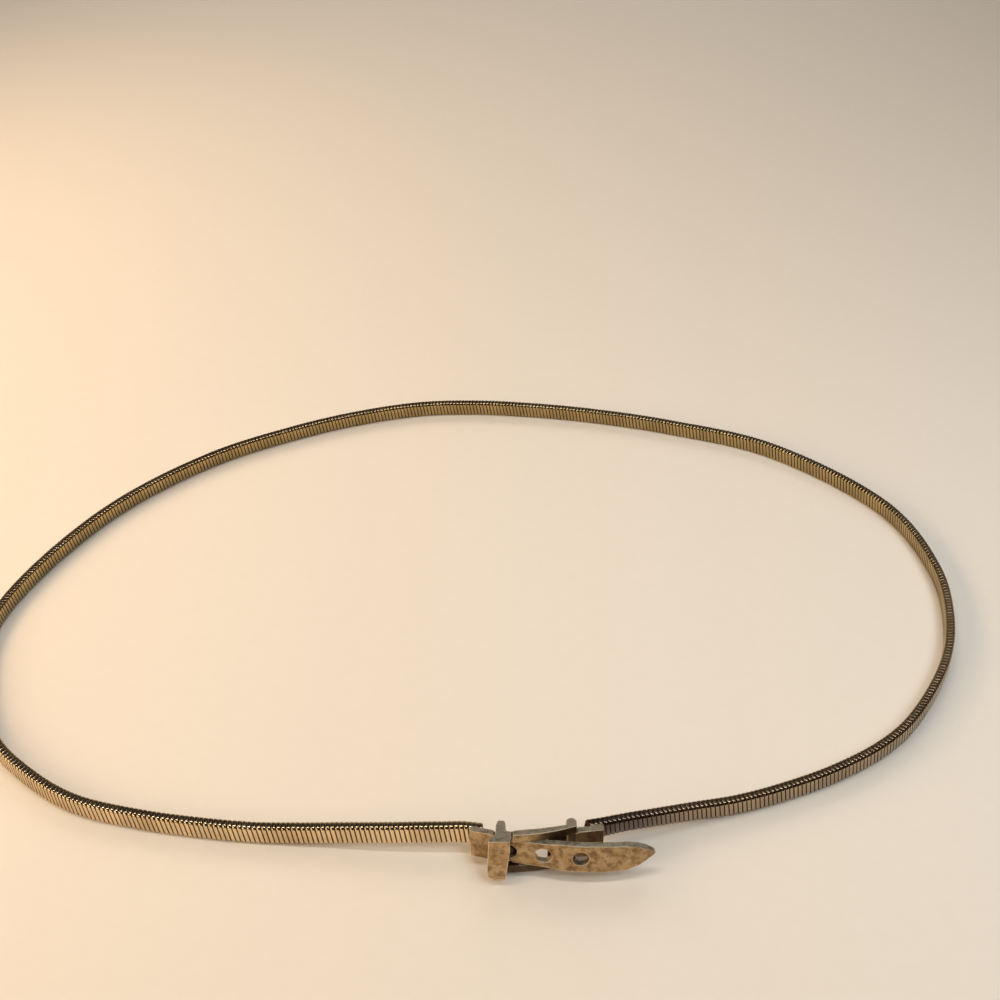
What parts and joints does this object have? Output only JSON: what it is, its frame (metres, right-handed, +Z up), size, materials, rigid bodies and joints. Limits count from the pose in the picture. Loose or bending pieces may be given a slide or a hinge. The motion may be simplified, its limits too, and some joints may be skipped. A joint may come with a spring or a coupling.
{
  "type": "snake chain belt",
  "caption": "Waist belt of flat-wound stretch coil standing on edge in a wide oval loop, fastened by a small strap and frame clasp with a keeper loop.",
  "frame": {"origin": "middle of the belt's footprint, on the surface that the belt stands on", "axes": "+X along the loop's long way, towards the strap's tip; +Y from the clasp to the back of the loop; +Z up, along the band's height"},
  "size_m": [0.3158, 0.2206, 0.0145],
  "materials": {
    "chain_gilt": "satin gold-tone plating worn to warm bronze, dark brown tarnish between the ribs",
    "clasp_gilt": "worn gold-tone plating mottled with brown tarnish, grey on the top edges, bright on worn edges"
  },
  "bodies": {
    "root": {"coil_band": "chain_gilt", "strap_tongue": "clasp_gilt", "keeper_loop": "clasp_gilt", "buckle_frame": "clasp_gilt", "right_end_plate": "clasp_gilt"}
  },
  "joints": []
}
